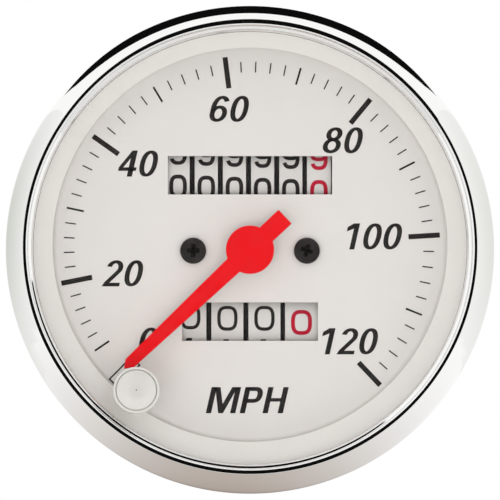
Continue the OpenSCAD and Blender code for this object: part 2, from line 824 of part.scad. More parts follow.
module trip_shaft() {
    color("silver") place() {
        union() {
            at_trip(0) rod(counter_shaft_r, knob_x - reset_gear_t / 2 - 1, right_cheek + cheek_t + 0.8);
            at_trip(knob_x) rotate(-90 + 180 / trip_reset_teeth) helical_gear(trip_reset_teeth);
        }
    }
}

module reset_shaft() {
    color("silver") place() translate([knob_x, knob_y, 0]) {
        union() {
            rod(reset_shaft_r, wall_back, dial_back - 0.4);
            translate([0, 0, counter_z]) rotate(90) helical_gear(reset_teeth);
        }
    }
}

module reset_bush() {
    color("whitesmoke") place() translate([knob_x, knob_y, 0])
        tube(stem_r + 0.7 - press_gap, stem_r + run_fit, dial_back, dial_front);
}

// Clear knob with a fluted side, a bevelled face and a stem through the lens
flutes = 20;
flute_r = 0.35;

module reset_knob() {
    back = lens_front + clear_gap;
    front = back + knob_l;
    bevel = 0.9;
    color([0.95, 0.95, 0.95, 0.5]) place() translate([knob_x, knob_y, 0]) {
        union() {
            difference() {
                union() {
                    rod(knob_d / 2, back, front - bevel);
                    translate([0, 0, front - bevel])
                        cylinder(r1 = knob_d / 2, r2 = knob_face_d / 2, h = bevel);
                }
                for (i = [0:flutes - 1]) rotate(i * 360 / flutes)
                    translate([knob_d / 2 + flute_r / 2, 0, 0]) rod(flute_r, back - 1, front + 1, $fn = 16);
            }
            rod(stem_r, dial_back - 0.4, back);
        }
    }
}

// Rear fittings

module mounting_studs() {
    color("silver") place() for (s = [-1, 1])
        translate([0, s * stud_span / 2, 0]) rod(stud_d / 2, case_back - stud_l, case_back);
}

lamp_height = 6;
lamp_flange_t = 2;
lamp_tail_l = 4;
bulb_l = 6;

module lamp_holders() {
    color("black") place() for (s = [-1, 1]) translate([s * lamp_x, 0, 0]) {
        union() {
            rod(lamp_r, case_back, base_back + lamp_height);
            rod(lamp_r + 1.6, case_back - lamp_flange_t, case_back);
            rod(lamp_r - 0.8, case_back - lamp_flange_t - lamp_tail_l, case_back - lamp_flange_t);
        }
    }
}

module lamp_bulbs() {
    bulb_r = 2.4;
    foot = base_back + lamp_height;
    outline = concat([[0, foot], [bulb_r, foot]], arc(0, foot + bulb_l, bulb_r, 0, 90, 8));
    color([1, 0.97, 0.85]) place() for (s = [-1, 1])
        translate([s * lamp_x, 0, 0]) rotate_extrude() polygon(outline);
}

case();
bezel();
lens();
lens_gasket();
dial_ring();
dial();
dial_screws();
dial_bridge();
dial_pillars();
spindle_bushes();
movement_frame();
frame_pillars();
bearing_plate();
base_plate();
movement_screws();
field_ring();
cable_fitting();
mounting_studs();
lamp_holders();
lamp_bulbs();
odometer_shaft();
odometer_carriers();
trip_carriers();
idler_pin();
reset_bush();
hairspring();
pointer();
spindle();
speed_cup();
input_shaft();
magnet();
cross_shaft();
cross_gear();
lay_shaft();
lay_gear();
odometer_gear();
for (n = [1:odometer_drums])
    odometer_drum(n);
for (n = [1:odometer_drums - 1])
    odometer_pinion(n);
idler_gear();
trip_gear();
for (n = [1:trip_drums])
    trip_drum(n);
for (n = [1:trip_drums - 1])
    trip_pinion(n);
trip_shaft();
reset_shaft();
reset_knob();
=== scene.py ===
"""Looks of the panel speedometer: dial print, counter digits, chrome, lens, threads, light and camera."""

import json
import math

import bpy
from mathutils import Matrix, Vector


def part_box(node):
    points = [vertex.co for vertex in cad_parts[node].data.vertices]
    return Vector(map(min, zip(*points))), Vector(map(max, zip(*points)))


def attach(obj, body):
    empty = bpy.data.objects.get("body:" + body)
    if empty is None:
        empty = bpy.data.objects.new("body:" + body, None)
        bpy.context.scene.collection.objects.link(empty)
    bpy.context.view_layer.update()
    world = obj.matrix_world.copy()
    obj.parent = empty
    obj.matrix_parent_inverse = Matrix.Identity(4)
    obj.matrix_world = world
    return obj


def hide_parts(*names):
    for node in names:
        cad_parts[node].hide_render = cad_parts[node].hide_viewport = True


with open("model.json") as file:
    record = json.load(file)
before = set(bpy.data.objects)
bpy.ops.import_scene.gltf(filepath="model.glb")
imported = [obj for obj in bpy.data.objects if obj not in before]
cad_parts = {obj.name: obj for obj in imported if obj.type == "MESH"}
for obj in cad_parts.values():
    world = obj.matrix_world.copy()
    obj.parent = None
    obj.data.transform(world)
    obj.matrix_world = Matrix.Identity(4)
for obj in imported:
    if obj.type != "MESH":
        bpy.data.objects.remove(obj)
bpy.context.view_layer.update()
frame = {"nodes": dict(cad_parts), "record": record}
nodes = frame["nodes"]
MM = 0.001

# Levels and radii from the CAD frame, in millimetres


def low(node):
    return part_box(node)[0] / MM


def high(node):
    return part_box(node)[1] / MM


BEZEL_R = high("bezel").x
CREST_Y = low("bezel").y
SEAT_Y = high("bezel").y
DIAL_Y = low("dial").y
LENS_BACK_Y = high("lens").y
RING_R = high("dial_ring").x
DRUM_R = (high("trip_drum_1").y - low("trip_drum_1").y) / 2
DRUM_Y = low("trip_drum_1").y + DRUM_R
CASE_BACK_Y = high("case").y
CABLE_END_Y = high("cable_fitting").y
CABLE_NECK_Y = low("cable_fitting").y
HEX_R = high("cable_fitting").x
STUD_END_Y = high("mounting_studs").y
STUD_R = high("mounting_studs").x
STUD_Z = high("mounting_studs").z - STUD_R

# Materials

MATERIALS = {}
NOISE_SPAN = (0.3, 0.7)


class Shader:
    """A new material with short ways to add procedural detail to its Principled shader."""

    def __init__(self, name, **sockets):
        self.material = bpy.data.materials.new(name)
        self.material.use_nodes = True
        self.tree = self.material.node_tree
        self.bsdf = self.tree.nodes["Principled BSDF"]
        self.place = self.tree.nodes.new("ShaderNodeTexCoord").outputs["Object"]
        for key, value in sockets.items():
            self.bsdf.inputs[key.replace("_", " ")].default_value = value
        MATERIALS[name] = self.material

    def link(self, source, target):
        self.tree.links.new(source, target)

    def noise(self, size_mm, detail=3.0, stretch=(1, 1, 1)):
        mapping = self.tree.nodes.new("ShaderNodeMapping")
        mapping.inputs["Scale"].default_value = stretch
        self.link(self.place, mapping.inputs["Vector"])
        texture = self.tree.nodes.new("ShaderNodeTexNoise")
        texture.inputs["Scale"].default_value = 1 / (size_mm * MM)
        texture.inputs["Detail"].default_value = detail
        self.link(mapping.outputs["Vector"], texture.inputs["Vector"])
        return texture.outputs["Fac"]

    def span(self, value, start, end, source=NOISE_SPAN):
        node = self.tree.nodes.new("ShaderNodeMapRange")
        node.inputs["From Min"].default_value = source[0]
        node.inputs["From Max"].default_value = source[1]
        node.inputs["To Min"].default_value = start
        node.inputs["To Max"].default_value = end
        self.link(value, node.inputs["Value"])
        return node.outputs["Result"]

    def colour(self, value, dark, light):
        ramp = self.tree.nodes.new("ShaderNodeValToRGB")
        for element, position, colour in zip(ramp.color_ramp.elements, NOISE_SPAN, (dark, light)):
            element.position = position
            element.color = (*colour, 1)
        self.link(value, ramp.inputs["Fac"])
        self.link(ramp.outputs["Color"], self.bsdf.inputs["Base Color"])

    def rough(self, value, start, end):
        self.link(self.span(value, start, end), self.bsdf.inputs["Roughness"])

    def bump(self, value, depth_mm):
        node = self.tree.nodes.new("ShaderNodeBump")
        node.inputs["Strength"].default_value = 1.0
        node.inputs["Distance"].default_value = depth_mm * MM
        self.link(value, node.inputs["Height"])
        self.link(node.outputs["Normal"], self.bsdf.inputs["Normal"])


def srgb(r, g, b):
    """Linear colour of an 8-bit display colour."""
    return tuple(((v / 255 + 0.055) / 1.055) ** 2.4 if v > 10 else v / 255 / 12.92 for v in (r, g, b))


def shade(colour, factor):
    return tuple(min(1.0, c * factor) for c in colour)


PAINT_BLOTCH_MM = 6.0
GLOSS_PATCH_MM = 3.0
GLOSS_SPREAD = 0.05
METAL_PATCH_MM = 5.0
METAL_GLOSS = (0.75, 1.25)


def painted(name, colour, spread, grain_mm, depth_mm, rough, shine=0.5):
    """Paint or moulded plastic: a fine skin, soft blotches in the colour and uneven gloss."""
    s = Shader(name, Specular_IOR_Level=shine)
    s.colour(s.noise(PAINT_BLOTCH_MM), shade(colour, 1 - spread), shade(colour, 1 + spread))
    grain = s.noise(grain_mm, detail=2.0)
    s.rough(s.noise(GLOSS_PATCH_MM), rough - GLOSS_SPREAD, rough + GLOSS_SPREAD)
    s.bump(grain, depth_mm)
    return s.material


def metal(name, colour, spread, rough, stretch=(1, 1, 1), grain_mm=0.4, depth_mm=0.002):
    """Metal with a directional grain and patches of duller finish."""
    s = Shader(name, Metallic=1.0)
    s.colour(s.noise(METAL_PATCH_MM), shade(colour, 1 - spread), shade(colour, 1 + spread))
    grain = s.noise(grain_mm, stretch=stretch)
    s.rough(grain, rough * METAL_GLOSS[0], rough * METAL_GLOSS[1])
    s.bump(grain, depth_mm)


DIAL_COLOUR = srgb(230, 226, 222)
RING_COLOUR = srgb(243, 241, 236)
INK_COLOUR = srgb(38, 35, 33)
CRIMSON = srgb(186, 22, 52)
DRUM_COLOUR = srgb(220, 217, 213)
RED = srgb(236, 12, 22)
BARE_BACK = srgb(214, 212, 208)
CARRIER_COLOUR = srgb(26, 24, 23)
SCREW_COLOUR = srgb(39, 36, 34)

# A grain's scale along X, Y and Z: a small one draws it out

ALONG_Y = (1, 0.04, 1)
ALONG_X = (0.04, 1, 1)

# The bezel's lip is dull inside the first of these radii and bright outside the second, in millimetres

LIP_DULL_R = 38.25
LIP_BRIGHT_R = 38.42
LIP_ROUGH = 0.3
CHROME_COLOUR = (0.94, 0.94, 0.93)


def chrome():
    """Mirror plating with a faint haze and hairlines from polishing, duller inside the bezel's lip."""
    s = Shader("chrome", Metallic=1.0, Base_Color=(*CHROME_COLOUR, 1))
    flat = s.tree.nodes.new("ShaderNodeVectorMath")
    flat.operation = "MULTIPLY"
    flat.inputs[1].default_value = (1, 0, 1)
    s.link(s.place, flat.inputs[0])
    radius = s.tree.nodes.new("ShaderNodeVectorMath")
    radius.operation = "LENGTH"
    s.link(flat.outputs["Vector"], radius.inputs[0])
    dull = s.span(radius.outputs["Value"], LIP_ROUGH, 0, source=(LIP_DULL_R * MM, LIP_BRIGHT_R * MM))
    total = s.tree.nodes.new("ShaderNodeMath")
    total.operation = "ADD"
    s.link(s.span(s.noise(size_mm=8.0), start=0.015, end=0.05), total.inputs[0])
    s.link(dull, total.inputs[1])
    s.link(total.outputs["Value"], s.bsdf.inputs["Roughness"])
    s.bump(s.noise(size_mm=0.25, stretch=ALONG_Y), depth_mm=0.00015)


def clear(name, tint, ior, haze):
    """Clear sheet: light goes straight through, with a Fresnel reflection outside and a trace of haze."""
    s = Shader(name, Base_Color=(*tint, 1), Roughness=0.5)
    tree = s.tree
    output = tree.nodes["Material Output"]
    through = tree.nodes.new("ShaderNodeBsdfTransparent")
    through.inputs["Color"].default_value = (*tint, 1)
    shine = tree.nodes.new("ShaderNodeBsdfGlossy")
    shine.inputs["Roughness"].default_value = 0.01
    fresnel = tree.nodes.new("ShaderNodeFresnel")
    fresnel.inputs["IOR"].default_value = ior
    outside = tree.nodes.new("ShaderNodeMath")
    outside.operation = "SUBTRACT"
    outside.inputs[0].default_value = 1
    s.link(tree.nodes.new("ShaderNodeNewGeometry").outputs["Backfacing"], outside.inputs[1])
    skin = tree.nodes.new("ShaderNodeMath")
    skin.operation = "MULTIPLY"
    s.link(fresnel.outputs["Fac"], skin.inputs[0])
    s.link(outside.outputs["Value"], skin.inputs[1])
    dusty = tree.nodes.new("ShaderNodeMixShader")
    s.link(s.span(s.noise(size_mm=2.0), 0, haze), dusty.inputs["Fac"])
    s.link(through.outputs["BSDF"], dusty.inputs[1])
    s.link(s.bsdf.outputs["BSDF"], dusty.inputs[2])
    mix = tree.nodes.new("ShaderNodeMixShader")
    s.link(skin.outputs["Value"], mix.inputs["Fac"])
    s.link(dusty.outputs["Shader"], mix.inputs[1])
    s.link(shine.outputs["BSDF"], mix.inputs[2])
    s.link(mix.outputs["Shader"], output.inputs["Surface"])


def milky(name, tint):
    """Moulded acrylic, cloudy enough to hide what is behind it, under a glossy skin."""
    s = Shader(name, Transmission_Weight=0.25, IOR=1.49, Coat_Weight=0.5, Coat_Roughness=0.04)
    s.colour(s.noise(size_mm=3.0), shade(tint, 0.98), tint)
    s.rough(s.noise(size_mm=1.5), start=0.3, end=0.4)
    s.bump(s.noise(size_mm=0.3, detail=2.0), depth_mm=0.0015)


BACK_FACING = (0.5, 0.8)


def pointer_paint():
    """Red paint on the pointer's front and sides; its back, turned to the dial, is bare and pale."""
    material = painted("pointer_paint", RED, spread=0.03, grain_mm=0.2, depth_mm=0.0015, rough=0.5,
                       shine=0.06)
    tree = material.node_tree
    base = tree.nodes["Principled BSDF"].inputs["Base Color"]
    red = base.links[0].from_socket
    split = tree.nodes.new("ShaderNodeSeparateXYZ")
    tree.links.new(tree.nodes.new("ShaderNodeNewGeometry").outputs["Normal"], split.inputs["Vector"])
    mix = tree.nodes.new("ShaderNodeMixRGB")
    mix.inputs["Color2"].default_value = (*BARE_BACK, 1)
    facing = tree.nodes.new("ShaderNodeMapRange")
    facing.inputs["From Min"].default_value = BACK_FACING[0]
    facing.inputs["From Max"].default_value = BACK_FACING[1]
    tree.links.new(split.outputs["Y"], facing.inputs["Value"])
    tree.links.new(facing.outputs["Result"], mix.inputs["Fac"])
    tree.links.new(red, mix.inputs["Color1"])
    tree.links.new(mix.outputs["Color"], base)


def make_materials():
    chrome()
    pointer_paint()
    clear("lens_glass", tint=(0.988, 0.988, 0.988), ior=1.45, haze=0.008)
    clear("bulb_glass", tint=(0.98, 0.95, 0.86), ior=1.45, haze=0.1)
    milky("knob_acrylic", tint=(0.79, 0.77, 0.735))
    # Paints and plastics: colour, spread of its shade, grain and its depth in millimetres, roughness, shine
    painted("gasket_rubber", (0.012, 0.012, 0.012), 0.2, 0.3, 0.01, 0.7)
    painted("ring_plastic", RING_COLOUR, 0.012, 0.25, 0.002, 0.45)
    painted("dial_paint", DIAL_COLOUR, 0.01, 0.12, 0.001, 0.6, 0.2)
    painted("dial_ink", INK_COLOUR, 0.12, 0.1, 0.001, 0.5, 0.12)
    # The drum ink also draws the painted shade along the drums' edges
    painted("drum_ink_and_gap_shade", INK_COLOUR, 0.15, 0.15, 0.001, 0.55, 0.1)
    painted("drum_crimson", CRIMSON, 0.1, 0.15, 0.001, 0.55, 0.1)
    painted("drum_plastic", DRUM_COLOUR, 0.015, 0.3, 0.002, 0.55)
    painted("carrier_plastic", CARRIER_COLOUR, 0.15, 0.3, 0.004, 0.6, 0.2)
    painted("black_steel", SCREW_COLOUR, 0.15, 0.2, 0.004, 0.5, 0.12)
    # Near-black for the deep faces of the screws' cross recess: painted shade where the recess lies in shadow
    painted("recess_painted_shade", shade(SCREW_COLOUR, 0.25), 0.3, 0.2, 0.004, 0.7, 0.05)
    painted("case_paint", (0.018, 0.018, 0.019), 0.15, 0.5, 0.006, 0.38)
    painted("lamp_plastic", (0.02, 0.02, 0.021), 0.15, 0.4, 0.006, 0.5)
    painted("gear_nylon", (0.79, 0.76, 0.66), 0.03, 0.4, 0.003, 0.5)
    painted("magnet_ferrite", (0.02, 0.02, 0.022), 0.25, 0.3, 0.01, 0.65)
    # Metals: colour, spread of its shade, roughness, direction of the grain
    metal("frame_aluminium", (0.6, 0.6, 0.61), 0.05, 0.35, ALONG_X)
    metal("base_casting", (0.42, 0.42, 0.43), 0.1, 0.5, grain_mm=0.6, depth_mm=0.01)
    metal("brass", (0.62, 0.42, 0.14), 0.08, 0.3)
    metal("zinc_steel", (0.56, 0.57, 0.6), 0.1, 0.3, depth_mm=0.003)
    metal("fitting_nickel", (0.58, 0.56, 0.51), 0.08, 0.28, depth_mm=0.003)
    metal("field_steel", (0.28, 0.29, 0.31), 0.1, 0.4, ALONG_Y)
    metal("shaft_steel", (0.6, 0.6, 0.61), 0.05, 0.25)
    metal("cup_aluminium", (0.68, 0.68, 0.69), 0.04, 0.3, ALONG_Y)


make_materials()
for part in frame["record"]["subparts"]:
    mesh = nodes[part["node"]].data
    mesh.materials.clear()
    mesh.materials.append(MATERIALS[part["material_slot"]])

# Mesh pieces


def piece(name, verts_mm, faces, slot, body="housing", material=None, smooth_deg=None):
    mesh = bpy.data.meshes.new(name)
    mesh.from_pydata([Vector(v) * MM for v in verts_mm], [], faces)
    mesh.validate()
    if smooth_deg is not None:
        mesh.shade_smooth()
        mesh.set_sharp_from_angle(angle=math.radians(smooth_deg))
    mesh.materials.append(MATERIALS[material or slot])
    obj = bpy.data.objects.new(name, mesh)
    bpy.context.scene.collection.objects.link(obj)
    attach(obj, body)
    return obj


def lathe(profile, segments, x=0.0, z=0.0, bend=lambda r, y, a: (r, y, 0.0)):
    """Closed (radius, y) profile turned about an axis along Y; bend gives each point's radius, y and lift."""
    verts = []
    for i in range(segments):
        a = 2 * math.pi * i / segments
        for r, y in profile:
            reach, level, lift = bend(r, y, a)
            verts.append((x + reach * math.cos(a), level, z + lift + reach * math.sin(a)))
    n = len(profile)
    faces = []
    for i in range(segments):
        j = (i + 1) % segments
        for k in range(n):
            m = (k + 1) % n
            faces.append((i * n + k, j * n + k, j * n + m, i * n + m))
    return verts, faces


def ellipse(cx, cy, rx, ry, start, end, steps, power=2.0):
    """Points on an arc of a superellipse, counted in degrees; power 2 is a plain ellipse."""
    points = []
    for i in range(steps + 1):
        a = math.radians(start + (end - start) * i / steps)
        c, s = math.cos(a), math.sin(a)
        points.append((cx + rx * math.copysign(abs(c) ** (2 / power), c),
                       cy + ry * math.copysign(abs(s) ** (2 / power), s)))
    return points


# Bezel: the CAD outline with finer curves, for clean reflections

FLANK_W = 3.25
FLANK_POWER = 1.86
FLANK_END_DEG = 89
FLANK_STEPS = 48
SLOPE_W = 1.6
SLOPE_STEPS = 48
BEZEL_WALL = 0.8
RIM_H = 1.5
RIM_ROUND = 0.4
RIM_STEPS = 6
LIP_DROP = 1.8
FOOT_W = 3.15
INSIDE_STEPS = 12
BEZEL_SEGMENTS = 256

# Tilt of the inner slope in degrees, by millimetres in from the crest

SHOULDER_TILT = 12.5
SLOPE_TILTS = [(0.0, 1), (0.42, 13), (0.66, 48), (0.77, 48), (0.86, SHOULDER_TILT),
               (1.2, SHOULDER_TILT), (1.46, 78)]


def inner_slope():
    """Distance in from the crest and drop below it, summed from the slope's tilt in degrees."""
    points = []
    drop = 0.0
    for i in range(SLOPE_STEPS):
        u = SLOPE_W * (i + 0.5) / SLOPE_STEPS
        after = next((k for k, (at, tilt) in enumerate(SLOPE_TILTS) if at > u), len(SLOPE_TILTS) - 1)
        (u0, tilt0), (u1, tilt1) = SLOPE_TILTS[after - 1], SLOPE_TILTS[after]
        share = min((u - u0) / (u1 - u0), 1)
        drop += math.tan(math.radians(tilt0 + (tilt1 - tilt0) * share)) * SLOPE_W / SLOPE_STEPS
        points.append((SLOPE_W * (i + 1) / SLOPE_STEPS, drop))
    return points


def bezel_profile():
    crest_r = BEZEL_R - FLANK_W
    opening_r = crest_r - SLOPE_W
    curve_h = SEAT_Y - CREST_Y - RIM_H
    inside_h = curve_h - BEZEL_WALL
    foot_r = BEZEL_R - FOOT_W
    lip_h = SEAT_Y - CREST_Y - LIP_DROP
    lip_angle = math.degrees(math.asin((lip_h - RIM_H) / inside_h))
    outline = [(foot_r, 0)]
    outline += ellipse(BEZEL_R - RIM_ROUND, RIM_ROUND, RIM_ROUND, RIM_ROUND, -90, 0, RIM_STEPS)
    outline += ellipse(crest_r, RIM_H, FLANK_W, curve_h, 0, FLANK_END_DEG, FLANK_STEPS, FLANK_POWER)
    outline += [(crest_r - u, SEAT_Y - CREST_Y - drop) for u, drop in inner_slope()]
    outline += [(opening_r, lip_h)]
    outline += ellipse(crest_r, RIM_H, FLANK_W - BEZEL_WALL, inside_h, lip_angle, 0, INSIDE_STEPS)
    outline += [(BEZEL_R - BEZEL_WALL, BEZEL_WALL), (foot_r, BEZEL_WALL)]
    return [(r, SEAT_Y - h) for r, h in outline]


bezel = piece("bezel_shell", *lathe(bezel_profile(), BEZEL_SEGMENTS), slot="chrome", smooth_deg=35)
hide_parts("bezel")

# Lens gasket: a rubber ring with a rounded inner edge, its opening drawn smaller than in the solids so that
# it shows as a thin dark line inside the bezel's lip: partly the real black rubber, partly painted shade for
# the shadowed gap between lip and ring

# The gasket's dark inner edge stands in for shade: painted shade in the gap between lip and ring
GASKET_OPENING_R = 37.95
GASKET_STEPS = 8
RING_SEGMENTS = 192


def make_gasket():
    front, back, outer = low("lens_gasket").y, high("lens_gasket").y, high("lens_gasket").x
    half = (back - front) / 2
    profile = ellipse(GASKET_OPENING_R + half, front + half, half, half, 270, 90, GASKET_STEPS)
    profile += [(outer, back), (outer, front)]
    gasket = piece("gasket_ring", *lathe(profile, RING_SEGMENTS), slot="gasket_rubber", smooth_deg=40)
    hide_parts("lens_gasket")


make_gasket()

# Dial ring: its cone leans, so that its edge is off centre as the print is, and stands clear of the dial

RING_EDGE_R = 34.7
RING_MOUTH_R = 38.3
RING_PLUG_R = 38.5
RING_FLANGE_Y = -1.7
RING_FOOT = 1.4
RING_LIFT = 1.0
RING_GAP = 1.9
RING_UNDERCUT = 2.3
RING_FOOT_W = 0.3
RING_SHELF = 0.6
RING_EDGE_W = 0.1
RING_EDGE_T = 0.15


def make_ring():
    edge_y = DIAL_Y - RING_GAP
    profile = [(RING_MOUTH_R, LENS_BACK_Y), (RING_R, LENS_BACK_Y), (RING_R, RING_FLANGE_Y),
               (RING_PLUG_R, RING_FLANGE_Y), (RING_PLUG_R, DIAL_Y - RING_FOOT),
               (RING_EDGE_R + RING_UNDERCUT + RING_FOOT_W, DIAL_Y), (RING_EDGE_R + RING_UNDERCUT, DIAL_Y),
               (RING_EDGE_R + RING_UNDERCUT, edge_y + RING_SHELF),
               (RING_EDGE_R + RING_EDGE_W, edge_y + RING_EDGE_T), (RING_EDGE_R, edge_y)]

    def lean(r, y, a):
        return r, y, RING_LIFT if y >= edge_y else 0.0

    ring = piece("dial_ring_cone", *lathe(profile, RING_SEGMENTS, bend=lean), slot="ring_plastic",
                 smooth_deg=30)
    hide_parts("dial_ring")


make_ring()

# Lettering: strokes of a broad pen, so that upright strokes are thicker than level ones

LOOP_STEPS = 48

def ribbon(points, pen, closed):
    """Quads along a path, as wide as an elliptical pen (width, height) drawn along it."""
    n = len(points)
    verts = []
    for i, (x, y) in enumerate(points):
        before = points[i - 1] if closed or i else points[i]
        after = points[(i + 1) % n] if closed or i < n - 1 else points[i]
        tx, ty = after[0] - before[0], after[1] - before[1]
        size = math.hypot(tx, ty)
        nx, ny = -ty / size, tx / size
        reach = math.hypot(pen[0] * nx, pen[1] * ny)
        dx, dy = pen[0] ** 2 * nx / reach / 2, pen[1] ** 2 * ny / reach / 2
        verts += [(x + dx, y + dy), (x - dx, y - dy)]
    last = n if closed else n - 1
    faces = []
    for i in range(last):
        j = (i + 1) % n
        faces.append((2 * i, 2 * i + 1, 2 * j + 1, 2 * j))
    return verts, faces


def dense(points, step):
    """The same path with points no further apart than the step, so that it can follow a drum's curve."""
    path = [points[0]]
    for (x0, y0), (x1, y1) in zip(points, points[1:]):
        parts = max(1, math.ceil(math.hypot(x1 - x0, y1 - y0) / step))
        path += [(x0 + (x1 - x0) * i / parts, y0 + (y1 - y0) * i / parts) for i in range(1, parts + 1)]
    return path


def rectangle(x0, y0, x1, y1):
    return [(x0, y0), (x1, y0), (x1, y1), (x0, y1)]


class Glyph:
    """Flat outline of one character in units of its height, as polygons and pen strokes."""

    def __init__(self, width, pen, step=None):
        self.width = width
        self.pen = pen
        self.step = step
        self.verts = []
        self.faces = []

    def polygon(self, *points):
        start = len(self.verts)
        self.verts += points
        self.faces.append(tuple(range(start, len(self.verts))))
        return self

    def stroke(self, points, closed=False):
        path = dense(points, self.step) if self.step else points
        verts, faces = ribbon(path[:-1] if closed else path, self.pen, closed)
        start = len(self.verts)
        self.verts += verts
        self.faces += [tuple(start + i for i in face) for face in faces]
        return self

    def loop(self, cx, cy, rx, ry, power=2.2):
        return self.stroke(ellipse(cx, cy, rx, ry, 0, 360, LOOP_STEPS, power), closed=True)


def dial_glyphs():
    """Bold grotesque figures and letters for the dial."""
    pen = (0.188, 0.12)
    top = 1 - pen[1] / 2
    mid = 0.5
    half = top - mid
    g = {}
    g["0"] = Glyph(0.662, pen).loop(0.331, mid, 0.237, half, 2.25)
    g["1"] = Glyph(0.588, pen).polygon(*rectangle(0.25, 0, 0.44, 1))
    g["1"].polygon((0.25, 0.8), (0.25, 1), (0.21, 1), (0.0, 0.86), (0.0, 0.69))
    two = ellipse(0.35, 0.71, 0.22, top - 0.71, 170, -25, 24, 2.1)
    g["2"] = Glyph(0.68, pen).stroke(two + [(0.32, 0.33), (0.14, 0.12)])
    g["2"].polygon((0.0, 0), (0.67, 0), (0.67, 0.14), (0.26, 0.14), (0.06, 0.14))
    g["4"] = Glyph(0.67, pen).polygon(*rectangle(0.38, 0, 0.58, 1))
    g["4"].polygon(*rectangle(0, 0.22, 0.68, 0.355))
    g["4"].polygon((0, 0.355), (0.17, 0.355), (0.38, 0.7), (0.38, 1))
    g["6"] = Glyph(0.68, pen).loop(0.345, 0.315, 0.235, 0.2525, 2.1)
    g["6"].stroke(ellipse(0.37, mid, 0.26, half, 38, 195, 28, 2.2))
    g["8"] = Glyph(0.69, pen).loop(0.345, 0.735, 0.21, 0.2025, 2.1).loop(0.345, 0.29, 0.245, 0.2275, 2.1)
    stem = 0.203
    letter_pen = (stem, 0.15)
    g["M"] = Glyph(1.13, letter_pen).polygon(*rectangle(0, 0, stem, 1))
    g["M"].polygon(*rectangle(1.13 - stem, 0, 1.13, 1))
    g["M"].polygon((0, 1), (0.34, 1), (0.565, 0.36), (0.565, 0.0), (0.475, 0.0), (stem, 0.8))
    g["M"].polygon((1.13, 1), (0.79, 1), (0.565, 0.36), (0.565, 0.0), (0.655, 0.0), (1.13 - stem, 0.8))
    bowl = [(0.08, 0.927)] + ellipse(0.42, 0.7, 0.2, 0.227, 90, -90, 20, 2.3) + [(0.08, 0.473)]
    g["P"] = Glyph(0.71, letter_pen).polygon(*rectangle(0, 0, stem, 1)).stroke(bowl)
    g["H"] = Glyph(0.78, letter_pen).polygon(*rectangle(0, 0, stem, 1))
    g["H"].polygon(*rectangle(0.78 - stem, 0, 0.78, 1))
    g["H"].polygon(*rectangle(stem, 0.445, 0.78 - stem, 0.58))
    return g


DRUM_STROKE_STEP = 0.06


def drum_glyphs(width, pen_w):
    """Plain rounded figures for a counter drum, one pen width all round."""
    pen = (pen_w, pen_w)
    p = pen_w / 2
    left, right, cx = p, width - p, width / 2
    rx = cx - p
    top = 1 - p
    ry = 0.5 - p
    g = {str(d): Glyph(width, pen, DRUM_STROKE_STEP) for d in range(10)}
    g["0"].loop(cx, 0.5, rx, ry, 2.9)
    g["1"].stroke([(cx, 0), (cx, 1)])
    g["1"].polygon((cx - p, 0.88), (cx - p, 1), (cx - 0.13, 1), (cx - 0.22, 0.88))
    g["1"].polygon((cx - p, 0.8), (cx - p, 0.88), (cx - 0.22, 0.88), (cx - 0.25, 0.84), (cx - 0.25, 0.72))
    g["2"].stroke(ellipse(cx, 0.72, rx, top - 0.72, 170, -30, 20, 2.4) + [(left, p)])
    g["2"].stroke([(0, p), (width, p)])
    g["3"].stroke(ellipse(cx, 0.75, rx, top - 0.75, 160, -90, 20))
    g["3"].stroke(ellipse(cx, 0.27, rx, 0.25 - p, 90, -160, 20))
    g["4"].stroke([(cx + 0.12, top), (left, 0.3), (width, 0.3)]).stroke([(cx + 0.14, 0), (cx + 0.14, 1)])
    g["5"].stroke([(right, top), (left, top)]).stroke([(left, 1), (left, 0.52)])
    g["5"].stroke([(left, 0.55)] + ellipse(cx, 0.31, rx, 0.31 - p, 100, -160, 24, 2.4))
    g["7"].stroke([(0, top), (width, top)]).stroke([(right, top), (cx - 0.1, 0)])
    g["8"].loop(cx, 0.75, rx * 0.92, 0.25 - p / 2, 2.6).loop(cx, 0.27, rx, 0.27 - p, 2.6)
    g["6"].loop(cx, 0.31, rx, 0.31 - p, 2.6).stroke(ellipse(cx, 0.5, rx, ry, 25, 190, 28, 2.8))
    g["9"].loop(cx, 0.69, rx, 0.31 - p, 2.6).stroke(ellipse(cx, 0.5, rx, ry, 205, 370, 28, 2.8))
    return g


def join(parts):
    """One list of vertices and faces from several."""
    verts, faces = [], []
    for part_verts, part_faces in parts:
        faces += [tuple(len(verts) + i for i in face) for face in part_faces]
        verts += part_verts
    return verts, faces


# Dial print, in millimetres from the dial's axis, right and up

PRINT_LIFT = 0.02
FIGURE_H = 4.6
FIGURE_SLANT = 0.227
FIGURE_GAP = 0.5
LETTER_GAP = 0.75
FIGURES = {"0": (-19.9, -18.1), "20": (-26.1, -6.25), "40": (-23.45, 13.1), "60": (-7.5, 22.75),
           "80": (12.5, 17.2), "100": (16.3, 0.25), "120": (11.97, -18.22)}
UNIT = "MPH"
UNIT_PLACE = (-7.78, -28.58)
SCALE_X, SCALE_Z = -0.19, 0.81
SCALE_START = 10
SCALE_END = 120
SCALE_STEP = 10
TICK_EVERY = 2
MEDIUM_EVERY = 10
MAJOR_EVERY = 20
SCALE_ANGLES = [-124.2, -101.2, -78.0, -54.7, -30.9, -7.2, 16.2, 39.5, 63.0, 86.6, 111.7, 136.7]

# A mark's inner and outer radius and its width

MAJOR = (28.1, 33.62, 0.9)
MEDIUM = (29.68, 32.75, 0.34)
MINOR = (30.68, 32.56, 0.22)
ZERO_BOX = (28.26, 33.97, 2.3)
ZERO_LINE = 0.27
ZERO_ANGLE = -135.4


def on_dial(points):
    return [(x, DIAL_Y - PRINT_LIFT, z) for x, z in points]


def word(text, glyphs, x, z, height, gap, slant):
    parts = []
    for letter in text:
        glyph = glyphs[letter]
        parts.append(([(x + (u + slant * v) * height, z + v * height) for u, v in glyph.verts], glyph.faces))
        x += glyph.width * height + gap
    return join(parts)


